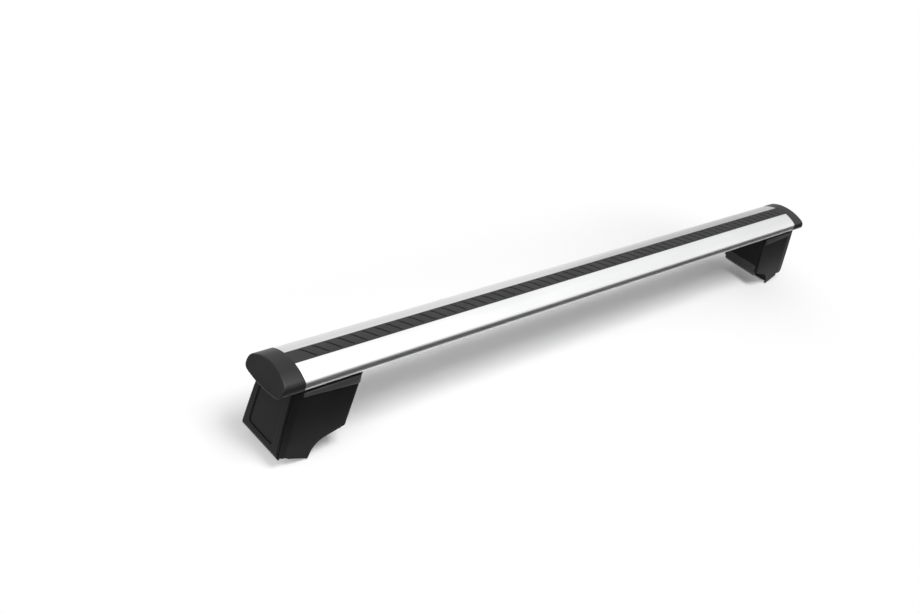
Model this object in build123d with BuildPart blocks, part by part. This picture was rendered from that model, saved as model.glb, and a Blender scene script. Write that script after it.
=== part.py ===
from build123d import *
from math import sqrt
import os

# A roof rack crossbar: a hollow aluminium wing bar with end caps, a ribbed rubber strip in its
# top slot and two clamp feet that can slide along it. X runs along the bar, Z is up, and the toes
# of the feet stand on Z = 0. Levels in the foot are measured from the bar's reference level.

# Bar extrusion
bar_length = 1171.6
bar_half_width = 40.0
crown_rise = 15.1          # reference level up to the crown
belly_drop = 15.8          # reference level down to the belly
crown_radius = 72.0
belly_radius = 230.0
nose_radius = 9.5          # rounded front and back edges
bar_wall = 2.0
web_wall = 2.0
channel_half = 13.0        # inner half width of both T-slot channels
channel_depth = 7.0
lip_wall = 2.2             # metal beside the slot mouths
low_lip_extra = 1.2        # the lower lips carry the bolts and are thicker
top_mouth_half = 8.0
low_mouth_half = 5.2

# Rubber strip in the top slot
strip_half = 11.8
strip_depth = 3.2          # seat below the crown
strip_proud = 0.3
strip_gap = 0.12
barb_reach = 1.6           # how far the strip's foot springs out under the slot lips
barb_depth = 1.8
stem_wall = 2.0
groove_pitch = 20.0
groove_width = 3.0
groove_depth = 1.0
groove_run = 15.0          # how far a groove travels along the bar
groove_margin = 2.4        # plain rim on each side of the strip
groove_lean = 0.7          # slope of a groove where it starts and ends

# End caps
cap_length = 32.3
cap_lip = 0.5              # how far the cap stands proud of the bar
cap_slant = 0.43           # the outer face leans in towards the crown
cap_round = 1.6
plug_length = 28.0
plug_gap = 0.2

# Levels and fit between bar and foot
toe_reach = 129.0          # reference level of the bar down to the ground
slide_gap = 0.3            # between faces that slide past each other
gasket_wall = 1.5
gasket_half = 36.9

# Stations of the foot are measured from the end of the bar, low levels from the ground
bar_end = bar_length / 2
ground = -toe_reach
tool_reach = 200.0         # cutting solids run this far past what they cut

# Foot housing
wall = 3.0
edge_gap = 0.3             # seam between cover and housing
end_margin = 4.0           # profiles that the foot's own outline cuts start this far outside it
inner_top = bar_end - 93.8     # inboard end just below the shoulder band
inner_lean = 0.205         # how the inboard end runs outboard going down
half_top = 36.2            # half width at the shoulder
half_low = 40.0            # half width at the lower edge
fold_inset = 1.5           # the sides turn in towards the cover
fold_length = 14.0
fold_lean = 0.16           # the fold runs outboard going down, as the outer face does
housing_round = 4.0
shoulder_proud = 1.5
shoulder_low_in = -29.6
shoulder_low_out = -21.0
shoulder_end = bar_end + 5.2
shoulder_round = 7.0
shoulder_crease_over = 5.0 # the crease line runs this far past both ends
shoulder_margin = 2.0
roof_wall = 4.5
boss_level = -25.0         # flat underside that the bracket is bolted against
boss_margin = 1.0
claw_opening = 40.0        # how far outboard the cut under the claw's upper edge goes

# Outer face of the foot, top and bottom of its gentle curve
face_top = (bar_end + 12.5, -2.0)
face_mid = (bar_end + 22.2, ground + 65.0)
face_low = (bar_end + 27.2, ground + 24.0)

# Rail recess
arch_start = (bar_end - 80.3, ground + 36.0)
arch_corner = (bar_end - 30.9, ground + 23.6)
arch_toe = (bar_end - 22.8, ground + 0.5)
arch_radius = 30.0
toe_flat = 4.0             # small step of the housing's edge beside the toe
toe_lift = 2.0
rail_roof_start = bar_end - 50.8
rail_roof_wall = 3.0
rail_roof_low = ground + 4.5   # the roof and its pad stop above the toe
rail_pad_wall = 2.0
rail_pad_inset = 1.0

# Cover
cover_wall = 3.0
cover_gap = 2.2            # under the cap
hinge_at = (bar_end + 15.7, face_low[1])
hinge_pin_radius = 2.0
hinge_pin_half = 37.5
hinge_running_gap = 0.05
barrel_radius = 4.6
barrel_length = 16.0
barrel_offset = 16.0
barrel_arm = 7.4           # height of the arm between barrel and cover
barrel_overlap = 1.0
cover_wrap = 52.0          # degrees that the lower edge wraps round the hinge
cover_travel = 60.0        # degrees that the cover swings open
heel_spare = 8.0           # degrees left free behind the wrapped edge when it is open
heel_step = 7.0            # housing behind the hinge line, clear of the cover as it turns
panel_border = 10.5
panel_foot = 7.0
panel_depth = 1.2
panel_round = 6.0

# Saddle bracket, bent from flat steel
plate = 3.0
bracket_half = 29.0
bracket_inner = bar_end - 72.8
leg_at = bar_end + 6.7
toe_bend = (bar_end - 5.3, ground + plate / 2)
toe_rise = 15.5            # height of the slanted stretch between leg and toe
toe_end = bar_end - 21.3
bend_radius = 4.0

# Rubber wedge outside the toe, from the slanted stretch of the bracket
toe_pad_inner = 2.0
toe_pad_outer = 1.0
toe_pad_drop = 6.0
toe_pad_tread = 3.0

# Clamp claw and its screw
jaw_wall = 4.0
jaw_half = 35.2
jaw_top = ground + 51.5
arm_level = ground + 41.0
jaw_knee = ground + 33.0
jaw_low = ground + 26.0
lug_at = bar_end - 40.8
lug_half = 12.0
screw_level = ground + 59.0
screw_radius = 4.0
screw_running_gap = 0.05
screw_length = 76.0
head_radius = 6.5
head_height = 8.0
key_size = 6.0
key_depth = 4.0
washer_radius = 8.0
washer_wall = 1.6
nut_size = 13.0
nut_height = 6.5
pad_wall = 2.5
lip_lean = 5.0             # the claw's lower end leans outboard by this much
pad_lean = 0.6
pad_top_gap = 0.4
pad_low_gap = 1.2
pad_side_gap = 2.0

# Bolts between foot and bar
mount_bolts_at = (bar_end - 51.8, bar_end - 13.8)
bolt_radius = 4.0
bolt_gap = 0.3
bolt_tip = 0.8             # how far a bolt passes the threaded plate
slot_nut_wall = 5.0
slot_nut_half = 12.0
slot_nut_ends = 12.0
slot_nut_round = 2.0

bar_level = toe_reach
plate_half = plate / 2


def across(x):
    """Plane across the bar at x: local x runs along Y, local y up from the bar's reference level."""
    return Plane(origin=(x, 0, bar_level), x_dir=(0, 1, 0), z_dir=(1, 0, 0))


def along(y=0.0):
    """Plane along the bar at y: local x runs along X, local y up from the bar's reference level."""
    return Plane(origin=(0, y, bar_level), x_dir=(1, 0, 0), z_dir=(0, -1, 0))


def flat(level):
    """Level plane, its height measured from the bar's reference level."""
    return Plane.XY.offset(bar_level + level)


def arc_height(y, radius, top):
    """Height at y of an arc of this radius that peaks at top."""
    return top - radius + sqrt(radius**2 - y**2)


def wing(grow=0.0, mode=Mode.ADD):
    """The bar's outline, grown or shrunk all round, added to the sketch that is open."""
    width = bar_half_width + grow
    crown = crown_rise + grow
    belly = belly_drop + grow
    upper_edge = arc_height(width, crown_radius + grow, crown)
    lower_edge = -arc_height(width, belly_radius + grow, belly)
    with BuildLine() as outline:
        ThreePointArc((-width, upper_edge), (0, crown), (width, upper_edge))
        Line((width, upper_edge), (width, lower_edge))
        ThreePointArc((width, lower_edge), (0, -belly), (-width, lower_edge))
        Line((-width, lower_edge), (-width, upper_edge))
        fillet(outline.vertices(), radius=nose_radius + grow)
    make_face(outline.edges(), mode=mode)


def wing_room(grow):
    """The bar's grown outline with all that lies above its reference level, added to the open sketch."""
    wing(grow)
    Rectangle(4 * bar_half_width, 2 * bar_half_width, align=(Align.CENTER, Align.MIN))


def wall_half_at(level):
    """Outer half width of the foot at a level."""
    top, low = shoulder_low_in, arch_start[1]
    return half_top + (half_low - half_top) * (top - level) / (top - low)


def plan(level, inset=0.0):
    """Plan outline of the foot at a level, added to the sketch that is open."""
    half = wall_half_at(level) - inset
    inner = inner_line(level) + inset
    fold = face_low[0] - fold_length - fold_lean * (level - face_low[1])
    end = fold + 2 * fold_length
    turned = half - 2 * fold_inset
    with BuildLine() as outline:
        Polyline((inner, -half), (fold, -half), (end, -turned), (end, turned), (fold, half), (inner, half),
                 close=True)
    make_face(outline.edges())


def face_arc(inset=0.0):
    """Outer face line of the foot in side view, moved inwards by inset."""
    return ThreePointArc((face_top[0] - inset, face_top[1]), (face_mid[0] - inset, face_mid[1]),
                         (face_low[0] - inset, face_low[1]))


def inner_line(level):
    """Where the inboard end of the foot lies at a level."""
    return inner_top + inner_lean * (shoulder_low_in - level)


def arch_line():
    """Lower edge of the side walls over the rail, from the inboard corner down to the toe."""
    return FilletPolyline(arch_start, arch_corner, arch_toe, radius=arch_radius)


def keep_above_arch():
    """Keep of the sketch that is open what lies above the arch, between the claw and the toe."""
    with BuildLine() as region:
        arch_line()
        Polyline(arch_toe, (leg_at, arch_toe[1]), (leg_at, 0), (arch_start[0], 0), arch_start)
    make_face(region.edges(), mode=Mode.INTERSECT)
    with Locations((rail_roof_start, rail_roof_low)):
        Rectangle(leg_at, toe_reach, align=(Align.MIN, Align.MIN), mode=Mode.INTERSECT)


def write(piece, name):
    piece.part.label = name
    export_step(piece.part, f"parts/{name}.step")


def write_pair(piece, name):
    """Write the right-hand piece and its mirror image for the left foot."""
    write(piece, f"right_{name}")
    with BuildPart() as other:
        mirror(piece.part, about=Plane.YZ)
    write(other, f"left_{name}")


os.makedirs("parts", exist_ok=True)

# Crossbar: one extrusion with a thin skin, two webs and a T-slot above and below
strip_seat = crown_rise - strip_depth
top_channel_roof = strip_seat - lip_wall
top_channel_floor = top_channel_roof - channel_depth
low_channel_floor = -belly_drop + lip_wall + low_lip_extra
low_channel_roof = low_channel_floor + channel_depth
web_outer = channel_half + web_wall

with BuildPart() as crossbar_profile:
    with BuildSketch(across(-bar_length / 2)):
        wing()
        wing(-bar_wall, mode=Mode.SUBTRACT)
        with BuildLine():
            Polyline((-web_outer, top_channel_floor - web_wall), (web_outer, top_channel_floor - web_wall),
                     (web_outer, crown_rise), (-web_outer, crown_rise), close=True)
        make_face()
        with BuildLine():
            Polyline((-web_outer, -belly_drop), (web_outer, -belly_drop),
                     (web_outer, low_channel_roof + web_wall), (-web_outer, low_channel_roof + web_wall),
                     close=True)
        make_face()
        with Locations((channel_half + web_wall / 2, 0), (-channel_half - web_wall / 2, 0)):
            Rectangle(web_wall, crown_rise)
        wing(mode=Mode.INTERSECT)
        with Locations((0, (top_channel_roof + top_channel_floor) / 2)):
            Rectangle(2 * channel_half, channel_depth, mode=Mode.SUBTRACT)
        with Locations((0, (low_channel_roof + low_channel_floor) / 2)):
            Rectangle(2 * channel_half, channel_depth, mode=Mode.SUBTRACT)
        with Locations((0, strip_seat)):
            Rectangle(2 * (strip_half + strip_gap), 2 * strip_depth, mode=Mode.SUBTRACT,
                      align=(Align.CENTER, Align.MIN))
        with Locations((0, top_channel_floor)):
            Rectangle(2 * top_mouth_half, 2 * channel_depth, mode=Mode.SUBTRACT,
                      align=(Align.CENTER, Align.MIN))
        with Locations((0, low_channel_roof)):
            Rectangle(2 * low_mouth_half, 3 * channel_depth, mode=Mode.SUBTRACT,
                      align=(Align.CENTER, Align.MAX))
    extrude(amount=bar_length)
write(crossbar_profile, "crossbar_profile")

# Strip: its crown carries on the curve of the bar, its barbed foot holds in the slot
stem_half = top_mouth_half - strip_gap
barb_half = stem_half + barb_reach
barb_top = top_channel_roof - strip_gap
barb_low = barb_top - barb_depth

with BuildPart() as groove_tools:
    with BuildSketch(flat(strip_seat)):
        groove_half = strip_half - groove_margin
        with BuildLine():
            front = Spline((0, groove_half), (groove_run / 2, 0), (groove_run, -groove_half),
                           tangents=((1, -groove_lean), (1, -groove_lean)))
            back = Spline((groove_width, groove_half), (groove_run / 2 + groove_width, 0),
                          (groove_run + groove_width, -groove_half),
                          tangents=((1, -groove_lean), (1, -groove_lean)))
            Line(front @ 0, back @ 0)
            Line(front @ 1, back @ 1)
        make_face()
    extrude(amount=2 * strip_depth)

groove_count = int((bar_length - groove_run - 2 * groove_width) / groove_pitch)
groove_first = -(groove_count * groove_pitch + groove_run) / 2 + groove_pitch / 2

with BuildPart() as strip_core:
    with BuildSketch(across(-bar_length / 2)):
        wing(strip_proud - groove_depth)
    extrude(amount=bar_length)

with BuildPart() as slot_strip:
    with BuildSketch(across(-bar_length / 2)):
        Rectangle(2 * strip_half, 3 * crown_rise)
        wing(strip_proud, mode=Mode.INTERSECT)
        with Locations((0, strip_seat)):
            Rectangle(4 * strip_half, 4 * crown_rise, mode=Mode.SUBTRACT, align=(Align.CENTER, Align.MAX))
        with BuildLine():
            Polyline((-stem_half, strip_seat), (stem_half, strip_seat), (stem_half, barb_top),
                     (barb_half, barb_top), (stem_half, barb_low), (-stem_half, barb_low),
                     (-barb_half, barb_top), (-stem_half, barb_top), close=True)
        make_face()
        with Locations((0, barb_low)):
            Rectangle(2 * (stem_half - stem_wall), strip_seat - barb_low, mode=Mode.SUBTRACT,
                      align=(Align.CENTER, Align.MIN))
    extrude(amount=bar_length)
    cutter = groove_tools.part - strip_core.part
    cutters = [Pos(groove_first + index * groove_pitch, 0, 0) * cutter for index in range(groove_count)]
    add(cutters, mode=Mode.SUBTRACT)
write(slot_strip, "slot_strip")

# End cap: a thick hood on the end of the bar, with a plug that fills the hollow beside the channels
cap_joint = bar_end
cap_face = cap_joint + cap_length

with BuildPart() as end_cap:
    with BuildSketch(across(cap_joint)):
        wing(cap_lip)
    extrude(amount=cap_length + 2 * cap_slant * belly_drop)
    with BuildSketch(along()):
        with BuildLine():
            slant_low = (cap_face + 2 * cap_slant * belly_drop, -2 * belly_drop)
            slant_high = (cap_face - 2 * cap_slant * belly_drop, 2 * belly_drop)
            Polyline((cap_joint, -2 * belly_drop), slant_low, slant_high, (cap_joint, 2 * belly_drop),
                     close=True)
        make_face()
    extrude(amount=2 * bar_half_width, both=True, mode=Mode.INTERSECT)
    fillet(faces().sort_by(Axis.X)[-1].edges(), radius=cap_round)
    with BuildSketch(across(cap_joint)):
        wing(-bar_wall - plug_gap)
        Rectangle(2 * (web_outer + plug_gap), 4 * crown_rise, mode=Mode.SUBTRACT)
    extrude(amount=-plug_length)
write_pair(end_cap, "end_cap")

# Envelope of the foot: the solid that housing and cover are both cut from
envelope_low = ground - wall
with BuildPart() as envelope:
    with BuildSketch(flat(0)):
        plan(0)
    with BuildSketch(flat(envelope_low)):
        plan(envelope_low)
    loft(ruled=True)
    inboard_edges = edges().filter_by(lambda e: abs(e.tangent_at(0.5).Z) > 0.9).group_by(Axis.X)[0]
    fillet(inboard_edges, radius=housing_round)

with BuildPart() as cavity:
    with BuildSketch(flat(0)):
        plan(0, wall)
    with BuildSketch(flat(envelope_low)):
        plan(envelope_low, wall)
    loft(ruled=True)

# What the foot leaves free for the bar, and for the cap that stands a little proud of it
with BuildPart() as bar_room:
    with BuildSketch(across(bar_end - tool_reach)):
        wing_room(slide_gap + gasket_wall)
    extrude(amount=2 * tool_reach)

with BuildPart() as seat_room:
    with BuildSketch(across(bar_end - tool_reach)):
        wing_room(slide_gap)
    extrude(amount=2 * tool_reach)
    with BuildSketch(across(cap_joint - slide_gap)):
        wing_room(cap_lip + slide_gap)
    extrude(amount=tool_reach)

with BuildPart() as roof_room:
    with BuildSketch(across(bar_end - tool_reach)):
        wing_room(slide_gap + gasket_wall + roof_wall)
    extrude(amount=2 * tool_reach)

# Shoulder band: the bead round the top of the housing, its lower crease falling towards the inboard end
band_half = half_top + shoulder_proud
with BuildPart() as shoulder_band:
    with BuildSketch(flat(shoulder_low_in - shoulder_margin)):
        with BuildLine():
            Polyline((inner_top - shoulder_proud, -band_half), (shoulder_end, -band_half),
                     (shoulder_end, band_half), (inner_top - shoulder_proud, band_half), close=True)
        make_face()
        fillet(vertices(), radius=shoulder_round)
    extrude(amount=shoulder_margin - shoulder_low_in)
    add(bar_room.part, mode=Mode.SUBTRACT)
    with BuildSketch(along()):
        with BuildLine():
            crease_in, crease_out = inner_top - shoulder_crease_over, shoulder_end + shoulder_crease_over
            Polyline((crease_in, shoulder_low_in), (crease_out, shoulder_low_out), (crease_out, ground),
                     (crease_in, ground), close=True)
        make_face()
    extrude(amount=2 * band_half, both=True, mode=Mode.SUBTRACT)

# Hinge geometry shared by cover, housing and pin
hinge_x, hinge_level = hinge_at
hinge_inner = face_low[0] - hinge_x - cover_wall
hinge_outer = face_low[0] - hinge_x
housing_corner = hinge_inner - edge_gap
heel_turn = cover_wrap + cover_travel + heel_spare

# Roof of the rail recess, a little above the edge of the side walls so that the pad ends flush with them
with BuildPart() as rail_roof:
    with BuildSketch(along()):
        with BuildLine() as arch:
            arch_line()
        trace(arch.edges(), line_width=2 * (rail_pad_wall + rail_roof_wall))
        trace(arch.edges(), line_width=2 * rail_pad_wall, mode=Mode.SUBTRACT)
        keep_above_arch()
    extrude(amount=wall_half_at(arch_start[1]) - wall / 2, both=True)

# Foot housing: moulded shell, open outboard where the cover sits and open below for the rail
boss_inner = bracket_inner - boss_margin
boss_outer = leg_at - bend_radius
boss_top = -belly_drop - 2 * gasket_wall

with BuildPart() as foot_housing:
    with BuildSketch(along()):
        with BuildLine():
            Polyline((inner_top - end_margin, 0), (inner_top - end_margin, shoulder_low_in), arch_start)
            arch_line()
            swept = CenterArc(hinge_at, housing_corner, -heel_turn, heel_turn)
            heel = (hinge_x - heel_step, hinge_level - hinge_outer)
            Polyline(arch_toe, (arch_toe[0] + toe_flat, arch_toe[1] + toe_lift), heel,
                     (heel[0], (swept @ 0).Y), swept @ 0)
            side = face_arc(cover_wall + edge_gap)
            Line(side @ 0, (inner_top - end_margin, 0))
        make_face()
    extrude(amount=bar_half_width + wall, both=True)
    add(envelope.part, mode=Mode.INTERSECT)
    add(bar_room.part, mode=Mode.SUBTRACT)
    add(shoulder_band.part)
    # hollow inside, under the roof
    add(cavity.part - roof_room.part, mode=Mode.SUBTRACT)
    # inboard wall is open below the claw's upper edge
    with BuildSketch(along()):
        with BuildLine():
            cut_in, cut_out = inner_top - claw_opening, inner_top + claw_opening
            Polyline((cut_in, jaw_top + slide_gap), (cut_out, jaw_top + slide_gap), (cut_out, ground),
                     (cut_in, ground), close=True)
        make_face()
    extrude(amount=wall_half_at(jaw_top) - wall, both=True, mode=Mode.SUBTRACT)
    # boss that the bracket is bolted against
    with BuildSketch(along()):
        with BuildLine():
            Polyline((boss_inner, boss_level), (boss_outer, boss_level), (boss_outer, boss_top),
                     (boss_inner, boss_top), close=True)
        make_face()
    extrude(amount=bracket_half, both=True)
    add(rail_roof.part)
    # holes for the bolts to the bar and for the cover's hinge pin
    with BuildSketch(flat(boss_level - plate)):
        with Locations(*[(x, 0) for x in mount_bolts_at]):
            Circle(bolt_radius + bolt_gap)
    extrude(amount=belly_drop, mode=Mode.SUBTRACT)
    with BuildSketch(along()):
        with Locations(hinge_at):
            Circle(hinge_pin_radius)
    extrude(amount=hinge_pin_half, both=True, mode=Mode.SUBTRACT)
write_pair(foot_housing, "foot_housing")

# Cover: a curved plate over the outboard end, its lower edge wrapped round the hinge line
with BuildPart() as panel_tool:
    with BuildSketch(along()):
        with BuildLine():
            bed = face_arc(panel_depth)
            outside = cap_face + cap_length
            Polyline(bed @ 0, (outside, face_top[1]), (outside, face_low[1]), bed @ 1)
        make_face()
    extrude(amount=bar_half_width, both=True)
    with BuildSketch(across(face_top[0] - cover_wall)):
        with BuildLine():
            low_half = half_low - fold_inset - panel_border
            top_half = half_top - fold_inset - panel_border
            Polyline((-low_half, face_low[1] + panel_foot), (low_half, face_low[1] + panel_foot),
                     (top_half, 0), (-top_half, 0), close=True)
        make_face()
        fillet(vertices().sort_by(Axis.Y)[:2], radius=panel_round)
    extrude(amount=tool_reach, mode=Mode.INTERSECT)

with BuildPart() as foot_cover:
    with BuildSketch(along()):
        with BuildLine():
            outer = face_arc()
            inner = face_arc(cover_wall)
            Line(outer @ 0, inner @ 0)
            outer_wrap = CenterArc(hinge_at, hinge_outer, 0, -cover_wrap)
            inner_wrap = CenterArc(hinge_at, hinge_inner, 0, -cover_wrap)
            Line(outer_wrap @ 1, inner_wrap @ 1)
        make_face()
    extrude(amount=bar_half_width + wall, both=True)
    add(envelope.part, mode=Mode.INTERSECT)
    with BuildSketch(across(cap_joint - slide_gap)):
        wing_room(cap_lip + cover_gap)
    extrude(amount=tool_reach, mode=Mode.SUBTRACT)
    add(panel_tool.part, mode=Mode.SUBTRACT)
    for side in (-1, 1):
        with BuildSketch(along(side * barrel_offset)):
            with Locations(hinge_at):
                Circle(barrel_radius)
                Rectangle(hinge_inner + barrel_overlap, barrel_arm, align=(Align.MIN, Align.CENTER))
        extrude(amount=barrel_length / 2, both=True)
    with BuildSketch(along()):
        with Locations(hinge_at):
            Circle(hinge_pin_radius + hinge_running_gap)
    extrude(amount=half_low, both=True, mode=Mode.SUBTRACT)
write_pair(foot_cover, "foot_cover")

with BuildPart() as cover_hinge_pin:
    with BuildSketch(along()):
        with Locations(hinge_at):
            Circle(hinge_pin_radius)
    extrude(amount=hinge_pin_half, both=True)
write_pair(cover_hinge_pin, "cover_hinge_pin")

# Gasket: rubber between the underside of the bar and the housing
with BuildPart() as bar_gasket:
    with BuildSketch(flat(-belly_drop - 2 * gasket_wall - cap_lip)):
        with BuildLine():
            Polyline((inner_top, -gasket_half), (shoulder_end, -gasket_half), (shoulder_end, gasket_half),
                     (inner_top, gasket_half), close=True)
        make_face()
        fillet(vertices(), radius=shoulder_round)
    extrude(amount=belly_drop)
    add(bar_room.part, mode=Mode.INTERSECT)
    add(seat_room.part, mode=Mode.SUBTRACT)
    with BuildSketch(flat(-2 * belly_drop)):
        with Locations(*[(x, 0) for x in mount_bolts_at]):
            Circle(bolt_radius + bolt_gap)
    extrude(amount=2 * belly_drop, mode=Mode.SUBTRACT)
write_pair(bar_gasket, "bar_gasket")

# Saddle bracket: one bent strip from the boss under the bar down to the toe that hooks the rail
flange_level = boss_level - plate_half
leg_low = (leg_at, toe_bend[1] + toe_rise)
with BuildPart() as saddle_bracket:
    with BuildSketch(along()):
        with BuildLine() as bend_line:
            FilletPolyline((bracket_inner, flange_level), (leg_at, flange_level), leg_low, toe_bend,
                           (toe_end, toe_bend[1]), radius=bend_radius)
        trace(bend_line.edges(), line_width=plate)
    extrude(amount=bracket_half, both=True)
    with BuildSketch(flat(boss_level - 2 * plate)):
        with Locations(*[(x, 0) for x in mount_bolts_at]):
            Circle(bolt_radius + bolt_gap)
    extrude(amount=3 * plate, mode=Mode.SUBTRACT)
    with BuildSketch(across(leg_at - plate)):
        with Locations((0, screw_level)):
            Circle(screw_radius + bolt_gap)
    extrude(amount=2 * plate, mode=Mode.SUBTRACT)
write_pair(saddle_bracket, "saddle_bracket")

# Rail pad: rubber under the rail roof
with BuildPart() as rail_pad:
    with BuildSketch(along()):
        with BuildLine() as arch:
            arch_line()
        trace(arch.edges(), line_width=2 * rail_pad_wall)
        keep_above_arch()
    extrude(amount=wall_half_at(arch_start[1]) - wall - rail_pad_inset, both=True)
write_pair(rail_pad, "rail_pad")

# Toe pad: rubber wedge on the outside of the toe
with BuildPart() as toe_pad:
    with BuildSketch(along()):
        with BuildLine():
            Polyline((leg_at, leg_low[1] + toe_pad_inner), (hinge_x, leg_low[1] + toe_pad_outer),
                     (hinge_x, leg_low[1] - toe_pad_drop), (toe_bend[0] + toe_pad_tread, ground),
                     (toe_bend[0], ground), toe_bend, leg_low, close=True)
        make_face()
        with Locations(hinge_at):
            Circle(hinge_outer + 2 * slide_gap, mode=Mode.SUBTRACT)
    extrude(amount=bracket_half + wall, both=True)
    add(saddle_bracket.part, mode=Mode.SUBTRACT)
write_pair(toe_pad, "toe_pad")

# Clamp claw: bent plate with a gripping lip, a guide arm and a lug for the nut
lip_top = (inner_line(jaw_top) + jaw_wall / 2, jaw_top)
lip_knee = (inner_line(jaw_knee) + jaw_wall / 2, jaw_knee)
lip_end = (lip_knee[0] + lip_lean, jaw_low + jaw_wall / 2)
arm_start = (inner_line(arm_level) + jaw_wall / 2, arm_level)

with BuildPart() as clamp_jaw:
    with BuildSketch(along()):
        with BuildLine() as lip_line:
            FilletPolyline(lip_top, lip_knee, lip_end, radius=bend_radius)
        trace(lip_line.edges(), line_width=jaw_wall)
    extrude(amount=jaw_half, both=True)
    with BuildSketch(along()):
        with BuildLine() as arm_line:
            FilletPolyline(arm_start, (lug_at, arm_level), (lug_at, screw_level), radius=bend_radius)
        trace(arm_line.edges(), line_width=jaw_wall)
    extrude(amount=lug_half, both=True)
    with BuildSketch(across(lug_at - jaw_wall / 2)):
        with Locations((0, screw_level)):
            Circle(lug_half)
    extrude(amount=jaw_wall)
    with BuildSketch(across(lug_at - jaw_wall)):
        with Locations((0, screw_level)):
            Circle(screw_radius + bolt_gap)
    extrude(amount=2 * jaw_wall, mode=Mode.SUBTRACT)
write_pair(clamp_jaw, "clamp_jaw")

with BuildPart() as jaw_pad:
    with BuildSketch(along()):
        with BuildLine() as pad_line:
            reach = (jaw_wall + pad_wall) / 2
            Line((arm_start[0] + reach + pad_lean, arm_level - jaw_wall / 2 - pad_top_gap),
                 (lip_knee[0] + reach, jaw_knee + pad_low_gap))
        trace(pad_line.edges(), line_width=pad_wall)
    extrude(amount=jaw_half - pad_side_gap, both=True)
    add(clamp_jaw.part, mode=Mode.SUBTRACT)
write_pair(jaw_pad, "jaw_pad")

with BuildPart() as clamp_nut:
    with BuildSketch(across(lug_at - jaw_wall / 2 - nut_height)):
        with Locations((0, screw_level)):
            RegularPolygon(nut_size / 2, 6, major_radius=False)
            Circle(screw_radius + screw_running_gap, mode=Mode.SUBTRACT)
    extrude(amount=nut_height)
write_pair(clamp_nut, "clamp_nut")

# Clamp screw: its head bears on the outboard side of the bracket's leg
washer_seat = leg_at + plate_half
head_seat = washer_seat + washer_wall
with BuildPart() as clamp_washer:
    with BuildSketch(across(washer_seat)):
        with Locations((0, screw_level)):
            Circle(washer_radius)
            Circle(screw_radius + bolt_gap, mode=Mode.SUBTRACT)
    extrude(amount=washer_wall)
write_pair(clamp_washer, "clamp_washer")

with BuildPart() as clamp_screw:
    with BuildSketch(across(head_seat)):
        with Locations((0, screw_level)):
            Circle(head_radius)
    extrude(amount=head_height)
    with BuildSketch(across(head_seat)):
        with Locations((0, screw_level)):
            Circle(screw_radius)
    extrude(amount=-screw_length)
    with BuildSketch(across(head_seat + head_height)):
        with Locations((0, screw_level)):
            RegularPolygon(key_size / 2, 6, major_radius=False)
    extrude(amount=-key_depth, mode=Mode.SUBTRACT)
write_pair(clamp_screw, "clamp_screw")

# Bolts and threaded plate that hold the foot to the bar
bolt_seat = boss_level - plate
nut_seat = low_channel_floor + slide_gap
with BuildPart() as mounting_bolts:
    with BuildSketch(flat(bolt_seat)):
        with Locations(*[(x, 0) for x in mount_bolts_at]):
            Circle(head_radius)
    extrude(amount=-head_height)
    with BuildSketch(flat(bolt_seat)):
        with Locations(*[(x, 0) for x in mount_bolts_at]):
            Circle(bolt_radius)
    extrude(amount=nut_seat + slot_nut_wall + bolt_tip - bolt_seat)
    with BuildSketch(flat(bolt_seat - head_height)):
        with Locations(*[(x, 0) for x in mount_bolts_at]):
            RegularPolygon(key_size / 2, 6, major_radius=False)
    extrude(amount=key_depth, mode=Mode.SUBTRACT)
write_pair(mounting_bolts, "mounting_bolts")

with BuildPart() as slot_nut_plate:
    with BuildSketch(flat(nut_seat)):
        with BuildLine():
            first, last = mount_bolts_at[0] - slot_nut_ends, mount_bolts_at[1] + slot_nut_ends
            Polyline((first, -slot_nut_half), (last, -slot_nut_half), (last, slot_nut_half),
                     (first, slot_nut_half), close=True)
        make_face()
        fillet(vertices(), radius=slot_nut_round)
        with Locations(*[(x, 0) for x in mount_bolts_at]):
            Circle(bolt_radius, mode=Mode.SUBTRACT)
    extrude(amount=slot_nut_wall)
write_pair(slot_nut_plate, "slot_nut_plate")
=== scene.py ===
import math
import bpy
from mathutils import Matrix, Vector


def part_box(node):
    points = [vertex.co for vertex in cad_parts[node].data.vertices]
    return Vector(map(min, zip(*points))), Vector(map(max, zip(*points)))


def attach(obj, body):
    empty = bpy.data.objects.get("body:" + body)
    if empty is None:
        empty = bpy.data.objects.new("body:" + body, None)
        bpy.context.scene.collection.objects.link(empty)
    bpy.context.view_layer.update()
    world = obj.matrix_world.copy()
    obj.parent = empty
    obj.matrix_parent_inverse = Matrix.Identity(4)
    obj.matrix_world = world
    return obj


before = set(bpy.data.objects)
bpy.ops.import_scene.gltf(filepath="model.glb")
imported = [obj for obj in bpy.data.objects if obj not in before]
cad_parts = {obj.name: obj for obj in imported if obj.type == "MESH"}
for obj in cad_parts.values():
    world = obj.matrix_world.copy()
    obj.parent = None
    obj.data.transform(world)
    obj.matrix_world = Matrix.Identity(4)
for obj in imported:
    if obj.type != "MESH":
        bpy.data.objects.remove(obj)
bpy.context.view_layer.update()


# Crossbar: hollow aluminium extrusion, drawn lengthwise and satin anodised. The draw leaves faint lines
# that run the whole length, and the anodising breaks the shine up into a soft sheen.

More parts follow.
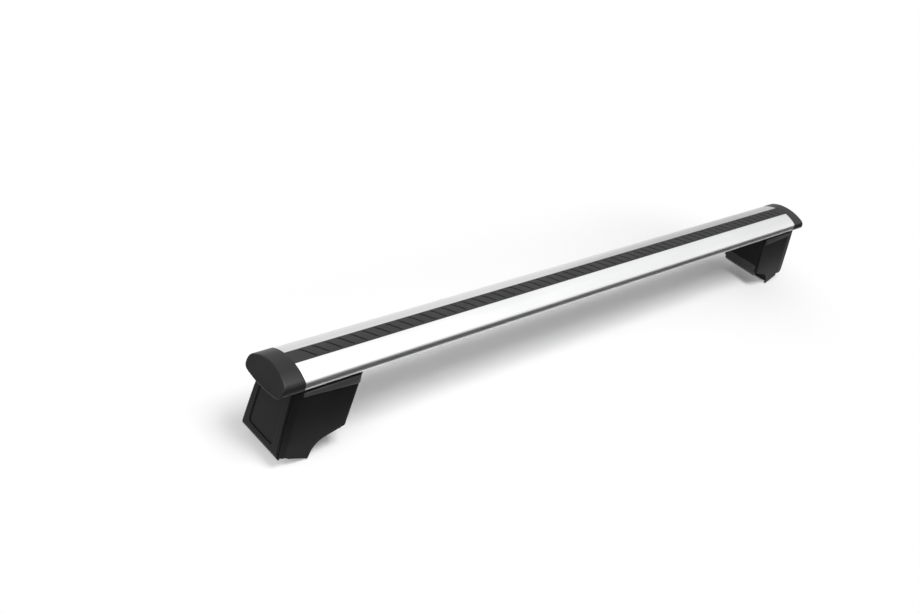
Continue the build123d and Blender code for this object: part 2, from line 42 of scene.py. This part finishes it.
class Wire:
    """An output of a shader node. Arithmetic on wires adds Math nodes to the same tree."""

    def __init__(self, tree, socket):
        self.tree = tree
        self.socket = socket

    def make(self, kind, settings=None, inputs=None, output=0):
        """Add a node of any kind, its settings first and then the values or wires of its inputs."""
        node = self.tree.nodes.new(kind)
        for name, value in (settings or {}).items():
            if name == "stops":
                for element, (position, shade) in zip(node.color_ramp.elements, value):
                    element.position = position
                    element.color = (*shade, 1)
            else:
                setattr(node, name, value)
        for name, value in (inputs or {}).items():
            if isinstance(value, Wire):
                self.tree.links.new(value.socket, node.inputs[name])
            else:
                node.inputs[name].default_value = value
        return Wire(self.tree, node.outputs[output])

    def math(self, operation, left, right=0.0):
        return self.make("ShaderNodeMath", {"operation": operation}, {0: left, 1: right})

    def __add__(self, other):
        return self.math("ADD", self, other)

    __radd__ = __add__

    def __sub__(self, other):
        return self.math("SUBTRACT", self, other)

    def __rsub__(self, other):
        return self.math("SUBTRACT", other, self)

    def __mul__(self, other):
        return self.math("MULTIPLY", self, other)

    __rmul__ = __mul__

    def __pow__(self, power):
        return self.math("POWER", self, power)

    def __abs__(self):
        return self.math("ABSOLUTE", self)

    def axis(self, name):
        """One coordinate of a place."""
        return self.make("ShaderNodeSeparateXYZ", {}, {"Vector": self}, output=name)

    def stretched(self, x, y, z):
        """The same coordinates scaled by x, y and z."""
        return self.make("ShaderNodeMapping", {}, {"Vector": self, "Scale": (x, y, z)})

    def noise(self, scale=1.0, detail=3.0, roughness=0.5):
        inputs = {"Vector": self, "Scale": scale, "Detail": detail, "Roughness": roughness}
        return self.make("ShaderNodeTexNoise", {}, inputs)

    def ramp(self, *stops):
        """A colour that runs from the first stop to the second. A stop is a position and its colour."""
        return self.make("ShaderNodeValToRGB", {"stops": stops}, {"Fac": self})

    def step(self, low, high):
        """0 below low, 1 above high, and a smooth rise between."""
        return self.make("ShaderNodeMapRange", {"interpolation_type": "SMOOTHSTEP"},
                         {"Value": self, "From Min": low, "From Max": high})

    def tint(self, under, over):
        """A colour between under and over, with this wire as the share of over."""
        return self.make("ShaderNodeMix", {"data_type": "RGBA"}, {0: self, 6: under, 7: over}, output=2)

    def bump(self, distance, strength, edge):
        """A normal for this height, with sharp corners that read as rounded by the radius edge."""
        rounded = self.make("ShaderNodeBevel", {"samples": 6}, {"Radius": edge})
        inputs = {"Height": self, "Distance": distance, "Strength": strength, "Normal": rounded}
        return self.make("ShaderNodeBump", {}, inputs)


def new_finish(name, metallic, specular=0.5):
    """A material with its shader's fixed values set. Returns it with a wire of Object coordinates."""
    finish = bpy.data.materials.new(name)
    finish.use_nodes = True
    shader = finish.node_tree.nodes["Principled BSDF"]
    shader.inputs["Metallic"].default_value = metallic
    shader.inputs["Specular IOR Level"].default_value = specular
    place = finish.node_tree.nodes.new("ShaderNodeTexCoord")
    return finish, Wire(finish.node_tree, place.outputs["Object"])


def feed(finish, **wires):
    """Link wires to the shader's inputs, named with underscores for spaces."""
    shader = finish.node_tree.nodes["Principled BSDF"]
    for name, wire in wires.items():
        finish.node_tree.links.new(wire.socket, shader.inputs[name.replace("_", " ")])


def dress(node, finish):
    """Give every slot of a CAD node's object this finish."""
    for slot in bpy.data.objects[node].material_slots:
        slot.material = finish


draw_lines = 1300              # lines a metre across the bar, and the broader marks of the die
die_lines = 260
dull_metal = (0.82, 0.824, 0.83)
bright_metal = (0.90, 0.902, 0.905)

def anodised_aluminium():
    finish, place = new_finish("anodised_aluminium", metallic=1.0)
    lines = place.stretched(1.5, draw_lines, draw_lines).noise(detail=4.0, roughness=0.65)
    die_marks = place.stretched(0.4, die_lines, die_lines).noise(detail=2.0)
    haze = place.stretched(6, 14, 14).noise()
    feed(finish,
         Base_Color=(0.6 * lines + 0.4 * haze).ramp((0.35, dull_metal), (0.65, bright_metal)),
         Roughness=0.25 + 0.12 * lines + 0.06 * haze,
         Normal=(lines + 0.8 * die_marks).bump(distance=0.00003, strength=0.6, edge=0.0004))
    return finish


dress("crossbar_profile", anodised_aluminium())


# Slot strip: extruded black rubber pressed into the bar's top slot, with slanting grooves moulded in its
# crown against slip. Its skin is dull, dust greys the lands a little, and shade is painted dark into the
# grooves.

strip_crown_radius = 0.0723
groove_floor = 0.0008
clean_rubber = (0.027, 0.027, 0.028)
dusty_rubber = (0.041, 0.041, 0.042)
# painted shade for the floors of the grooves
painted_groove_shade = (0.006, 0.006, 0.006, 1)

def strip_rubber():
    finish, place = new_finish("strip_rubber", metallic=0.0, specular=0.22)
    crown_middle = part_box("slot_strip")[1][2] - strip_crown_radius
    across = place.axis("Y")
    height = place.axis("Z") - crown_middle
    depth = strip_crown_radius - (across * across + height * height) ** 0.5
    # painted shade: the grooves are coloured near black where they sink below the crown
    groove = depth.step(0.3 * groove_floor, groove_floor)
    dust = place.stretched(25, 60, 60).noise(detail=4.0)
    grain = place.noise(scale=2600, detail=2.0)
    lands = dust.ramp((0.3, clean_rubber), (0.75, dusty_rubber))
    feed(finish,
         Base_Color=groove.tint(lands, painted_groove_shade),
         Roughness=0.5 + 0.25 * dust,
         Normal=grain.bump(distance=0.00005, strength=0.6, edge=0.0003))
    return finish


dress("slot_strip", strip_rubber())


# End caps: moulded black plastic hoods, each held by a plug that is pushed into the bar's end. The
# mould's fine spark-eroded grain dulls them, and the flow of the plastic leaves a faint cloudiness.

cloud_scale = 18               # cycles a metre of the moulding's cloudiness and of its grain
grain_scale = 2400

def grained_plastic(name, dark, pale, gloss, specular, edge):
    finish, place = new_finish(name, metallic=0.0, specular=specular)
    cloud = place.noise(cloud_scale)
    grain = place.noise(grain_scale, roughness=0.6)
    feed(finish,
         Base_Color=cloud.ramp((0.3, dark), (0.7, pale)),
         Roughness=(gloss - 0.06) + 0.12 * cloud,
         Normal=grain.bump(distance=0.00005, strength=0.5, edge=edge))
    return finish


cap_plastic = grained_plastic("cap_plastic", dark=(0.010, 0.010, 0.0105), pale=(0.015, 0.015, 0.0155),
                              gloss=0.34, specular=0.3, edge=0.0006)
for side in ("left", "right"):
    dress(f"{side}_end_cap", cap_plastic)


# Foot housings and covers: moulded in the same kind of grained black plastic, with a little less shine.
# Where cover and housing meet, a bump rounds their edges into a groove, and the shade in the joint is
# painted as a dark line on the side walls.

cover_wall = 0.003
joint_half = 0.0011
face_points = ((0.5983, 0.127), (0.6080, 0.065), (0.6130, 0.024))     # outwards and up, on the face's arc
foot_gloss = 0.4
dark_plastic = (0.006, 0.006, 0.0064)
pale_plastic = (0.009, 0.009, 0.0094)
# painted shade for the joint line between cover and housing
painted_joint_shade = (0.001, 0.001, 0.001, 1)

def round_through(first, middle, last):
    """Centre and radius of the circle through three points."""
    (x1, z1), (x2, z2), (x3, z3) = first, middle, last
    double = 2 * (x1 * (z2 - z3) + x2 * (z3 - z1) + x3 * (z1 - z2))
    s1, s2, s3 = x1 * x1 + z1 * z1, x2 * x2 + z2 * z2, x3 * x3 + z3 * z3
    centre_x = (s1 * (z2 - z3) + s2 * (z3 - z1) + s3 * (z1 - z2)) / double
    centre_z = (s1 * (x3 - x2) + s2 * (x1 - x3) + s3 * (x2 - x1)) / double
    return centre_x, centre_z, math.hypot(x1 - centre_x, z1 - centre_z)


def foot_plastic():
    finish, place = new_finish("foot_plastic", metallic=0.0, specular=0.11)
    centre_x, centre_z, radius = round_through(*face_points)
    along = abs(place.axis("X")) - centre_x
    up = place.axis("Z") - centre_z
    inwards = radius - (along * along + up * up) ** 0.5
    # painted shade: a near-black line along the joint between cover and housing
    joint = 1.0 - abs(inwards - cover_wall).step(0.35 * joint_half, joint_half)
    cloud = place.noise(cloud_scale)
    grain = place.noise(grain_scale, roughness=0.6)
    skin = cloud.ramp((0.3, dark_plastic), (0.7, pale_plastic))
    feed(finish,
         Base_Color=joint.tint(skin, painted_joint_shade),
         Roughness=(foot_gloss - 0.06) + 0.12 * cloud + 0.4 * joint,
         Normal=(0.08 * grain - joint).bump(distance=0.0006, strength=0.5, edge=0.0009))
    return finish


black_plastic = foot_plastic()
for side in ("left", "right"):
    for piece in ("foot_housing", "foot_cover"):
        dress(f"{side}_{piece}", black_plastic)


# Shoulder beads: the housing's top edge swells into a bead along the bar on both of its long sides. It
# is moulded with the housing in the same plastic, rounded on its outside, and tapers towards the cover.
# Its plastic is painted lighter than the housing's, as the light that the rounded bead catches.

bead_inner = 0.4960
bead_outer = 0.5845
bead_root = 0.0350             # inside the housing's wall, and the outer face
bead_face = 0.0393
bead_top = 0.1146
bead_low_inner = 0.0999
bead_low_outer = 0.1070
bead_round = 0.0034
bead_bevel_steps = 8
hair = 0.0001                  # slack when edges are picked by their place

# painted light: the bead's plastic is coloured several times lighter than the housing's, as light on the
# rounded bead
painted_lit_bead_plastic = grained_plastic("painted_lit_bead_plastic", dark=(0.030, 0.030, 0.0305), pale=(0.040, 0.040, 0.0405),
                               gloss=0.4, specular=0.4, edge=0.0004)

def shoulder_bead(side, sign, facing, face_name):
    """One bead. It is on the side of the bar that facing gives, and its front edges are rounded."""
    bpy.ops.object.select_all(action="DESELECT")
    bpy.ops.mesh.primitive_cube_add(size=1)
    bead = bpy.context.object
    bead.name = f"{side}_shoulder_bead_{face_name}"
    for corner in bead.data.vertices:
        outer = corner.co.x > 0
        low = bead_low_outer if outer else bead_low_inner
        corner.co = (sign * (bead_outer if outer else bead_inner),
                     facing * (bead_face if corner.co.y > 0 else bead_root),
                     bead_top if corner.co.z > 0 else low)
    bpy.ops.object.mode_set(mode="EDIT")
    bpy.ops.mesh.select_all(action="SELECT")
    bpy.ops.mesh.normals_make_consistent(inside=False)
    bpy.ops.mesh.select_mode(type="EDGE")
    bpy.ops.mesh.select_all(action="DESELECT")
    bpy.ops.object.mode_set(mode="OBJECT")
    for edge in bead.data.edges:
        ends = [bead.data.vertices[index].co for index in edge.vertices]
        edge.select = all(abs(end.y) > bead_face - hair for end in ends)
    bpy.ops.object.mode_set(mode="EDIT")
    bpy.ops.mesh.bevel(offset=bead_round, segments=bead_bevel_steps, profile=0.5, clamp_overlap=True)
    bpy.ops.object.mode_set(mode="OBJECT")
    bpy.ops.object.shade_smooth_by_angle(angle=math.radians(60))
    bead.data.materials.append(painted_lit_bead_plastic)
    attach(bead, f"{side}_foot")


for side, sign in (("left", -1), ("right", 1)):
    for facing, face_name in ((-1, "front"), (1, "back")):
        shoulder_bead(side, sign, facing, face_name)


# Seals and pads: soft black rubber, moulded with a dull skin. They are glued or clipped where the foot
# touches the bar and the rail: on its top, under the rail roof, on the claw and on the toe.

fresh_rubber = (0.009, 0.009, 0.009)
bloomed_rubber = (0.018, 0.018, 0.018)

def seal_rubber():
    finish, place = new_finish("seal_rubber", metallic=0.0, specular=0.2)
    grain = place.noise(scale=1500, detail=2.0)
    bloom = place.noise(scale=40)
    feed(finish,
         Base_Color=bloom.ramp((0.3, fresh_rubber), (0.8, bloomed_rubber)),
         Roughness=0.7 + 0.2 * bloom,
         Normal=grain.bump(distance=0.00008, strength=0.6, edge=0.0004))
    return finish


rubber = seal_rubber()
for side in ("left", "right"):
    for piece in ("bar_gasket", "rail_pad", "toe_pad", "jaw_pad"):
        dress(f"{side}_{piece}", rubber)


# Saddle brackets and fasteners: the bracket is bent from rolled steel plate, and the screws, nuts, pins
# and washers are turned or stamped. All are zinc plated, and the plating gives a blotchy shine.

grey_zinc = (0.46, 0.46, 0.44)
light_zinc = (0.62, 0.62, 0.59)

def zinc_plate():
    finish, place = new_finish("zinc_plate", metallic=1.0)
    spangle = place.noise(scale=120, detail=4.0, roughness=0.6)
    rolling = place.stretched(30, 900, 30).noise()
    feed(finish,
         Base_Color=spangle.ramp((0.3, grey_zinc), (0.7, light_zinc)),
         Roughness=0.22 + 0.2 * spangle + 0.08 * rolling,
         Normal=(spangle + 0.5 * rolling).bump(distance=0.00004, strength=0.5, edge=0.0003))
    return finish


zinc = zinc_plate()
for side in ("left", "right"):
    for piece in ("saddle_bracket", "clamp_nut", "clamp_screw", "clamp_washer", "cover_hinge_pin",
                  "mounting_bolts", "slot_nut_plate"):
        dress(f"{side}_{piece}", zinc)


# Clamp claws: bent steel plate under a black powder coat, which flows out slightly pebbled when it is
# baked. The long screw behind the cover draws each one towards the toe.

low_coat = (0.016, 0.016, 0.017)
high_coat = (0.022, 0.022, 0.023)

def powder_coat():
    finish, place = new_finish("powder_coat", metallic=0.0, specular=0.4)
    pebble = place.noise(scale=900, detail=2.0)
    feed(finish,
         Base_Color=pebble.ramp((0.3, low_coat), (0.7, high_coat)),
         Roughness=0.36 + 0.12 * pebble,
         Normal=pebble.bump(distance=0.0001, strength=0.5, edge=0.0006))
    return finish


coat = powder_coat()
for side in ("left", "right"):
    dress(f"{side}_clamp_jaw", coat)


# Studio floor: seamless white paper that keeps a soft shadow under the bar. Away from the object it is
# plain white to the camera and in reflections.

floor_size = 16
floor_drop = 0.0005            # gap under the feet
paper_tone = 0.98
shadow_half = 0.42             # half the length of the line round which the shadow is kept,
shadow_line = 0.04             # how far behind the bar that line is,
shadow_full = 0.08             # how far from it the shadow is whole,
shadow_gone = 0.34             # and how far from it the shadow has gone
least_glow = 0.1               # share of plain white where the shadow is whole

def seen_rays(tree):
    """1 for rays that show a surface: from the camera, off gloss or through glass."""
    rays = tree.nodes.new("ShaderNodeLightPath").outputs
    camera_ray = Wire(tree, rays["Is Camera Ray"])
    glossy_ray = Wire(tree, rays["Is Glossy Ray"])
    through_ray = Wire(tree, rays["Is Transmission Ray"])
    return camera_ray.math("MAXIMUM", camera_ray, camera_ray.math("MAXIMUM", glossy_ray, through_ray))


def seamless_white():
    finish = bpy.data.materials.new("seamless_white")
    finish.use_nodes = True
    tree = finish.node_tree
    tree.nodes.clear()
    seen = seen_rays(tree)
    paper = seen.make("ShaderNodeBsdfDiffuse", {}, {"Color": (paper_tone, paper_tone, paper_tone, 1)})
    glow = seen.make("ShaderNodeEmission", {}, {"Color": (1, 1, 1, 1), "Strength": 1.0})
    place = Wire(tree, tree.nodes.new("ShaderNodeTexCoord").outputs["Object"])
    beyond_end = place.math("MAXIMUM", abs(place.axis("X")) - shadow_half, 0.0)
    beside = place.axis("Y") - shadow_line
    away = ((beyond_end * beyond_end + beside * beside) ** 0.5).step(shadow_full, shadow_gone)
    share = seen * (least_glow + (1 - least_glow) * away)
    mixed = seen.make("ShaderNodeMixShader", {}, {0: share, 1: paper, 2: glow})
    tree.links.new(mixed.socket, tree.nodes.new("ShaderNodeOutputMaterial").inputs["Surface"])
    return finish


bpy.ops.object.select_all(action="DESELECT")
bpy.ops.mesh.primitive_plane_add(size=floor_size, location=(0, 0, -floor_drop))
floor = bpy.context.object
floor.name = "studio_floor"
floor.data.materials.append(seamless_white())


# Studio cards: flat boards that only reflections show, dark ones in front and at the left, pale ones
# behind and at the right. They give the bar and the feet their darker bands beside the bright ones.

def studio_card(name, place, aim, width, height, tone):
    """A flat card that only shows in reflections, turned to face aim."""
    bpy.ops.mesh.primitive_plane_add(size=1)
    card = bpy.context.object
    card.name = name
    card.dimensions = (width, height, 0)
    card.location = place
    card.rotation_euler = (Vector(aim) - Vector(place)).to_track_quat("Z", "Y").to_euler()
    card.visible_camera = False
    card.visible_diffuse = False
    card.visible_shadow = False
    finish = bpy.data.materials.new(name)
    finish.use_nodes = True
    tree = finish.node_tree
    tree.nodes.clear()
    glow = tree.nodes.new("ShaderNodeEmission")
    glow.inputs["Color"].default_value = (tone, tone, tone, 1)
    tree.links.new(glow.outputs[0], tree.nodes.new("ShaderNodeOutputMaterial").inputs["Surface"])
    card.data.materials.append(finish)


studio_card("front_flag", place=(1.0, -1.7, 0.28), aim=(1.0, 0, 0.28), width=6.5, height=0.58, tone=0.09)
studio_card("table_flag", place=(1.0, -0.89, 0.001), aim=(1.0, -0.89, 1.0), width=6.5, height=1.6, tone=0.06)
studio_card("left_flag", place=(-1.6, 0, 0.001), aim=(-1.6, 0, 1.0), width=1.5, height=3.0, tone=0.06)
studio_card("back_flag", place=(1.5, 2.6, 0.8), aim=(1.5, 0, 0.8), width=7.0, height=1.6, tone=0.72)
studio_card("end_flag", place=(3.4, 1.3, 0.8), aim=(0.4, 0.1, 0.1), width=3.2, height=1.9, tone=0.45)


# Studio light: a low even light from all round, which is white where it is seen, and two softboxes, a
# strong one above the front of the bar and a weak one at its left end.

ambient_light = 0.22

world = bpy.data.worlds.new("studio_world")
bpy.context.scene.world = world
world.use_nodes = True
sky_tree = world.node_tree
sky_tree.nodes.clear()
seen = seen_rays(sky_tree)
sky_strength = ambient_light + (1 - ambient_light) * seen
sky = seen.make("ShaderNodeBackground", {}, {"Color": (1, 1, 1, 1), "Strength": sky_strength})
sky_tree.links.new(sky.socket, sky_tree.nodes.new("ShaderNodeOutputWorld").inputs["Surface"])


def softbox(name, place, aim, size, power):
    """A square area lamp at place, turned to face aim."""
    lamp = bpy.data.lights.new(name, "AREA")
    lamp.shape = "SQUARE"
    lamp.size = size
    lamp.energy = power
    box = bpy.data.objects.new(name, lamp)
    box.location = place
    box.rotation_euler = (Vector(aim) - Vector(place)).to_track_quat("-Z", "Y").to_euler()
    bpy.context.collection.objects.link(box)


softbox("front_box", place=(-0.3, -0.8, 2.2), aim=(0, 0, 0), size=1.0, power=46)
softbox("left_box", place=(-2.0, 0.2, 1.5), aim=(-0.3, 0, 0.05), size=1.2, power=10)


# Camera: stands in front of the bar's left end, above it, and looks down along it to the right. It is a
# little turned about its own axis, as in the photograph.

view = bpy.data.cameras.new("camera")
view.sensor_width = 36
view.lens = 40.354
view.shift_x = -0.03963
camera = bpy.data.objects.new("camera", view)
camera.location = (-1.25188, -0.81156, 0.91909)
camera.rotation_euler = [math.radians(angle) for angle in (57.776, -13.880, -43.348)]
bpy.context.collection.objects.link(camera)
bpy.context.scene.camera = camera
bpy.context.scene.view_settings.view_transform = "Standard"
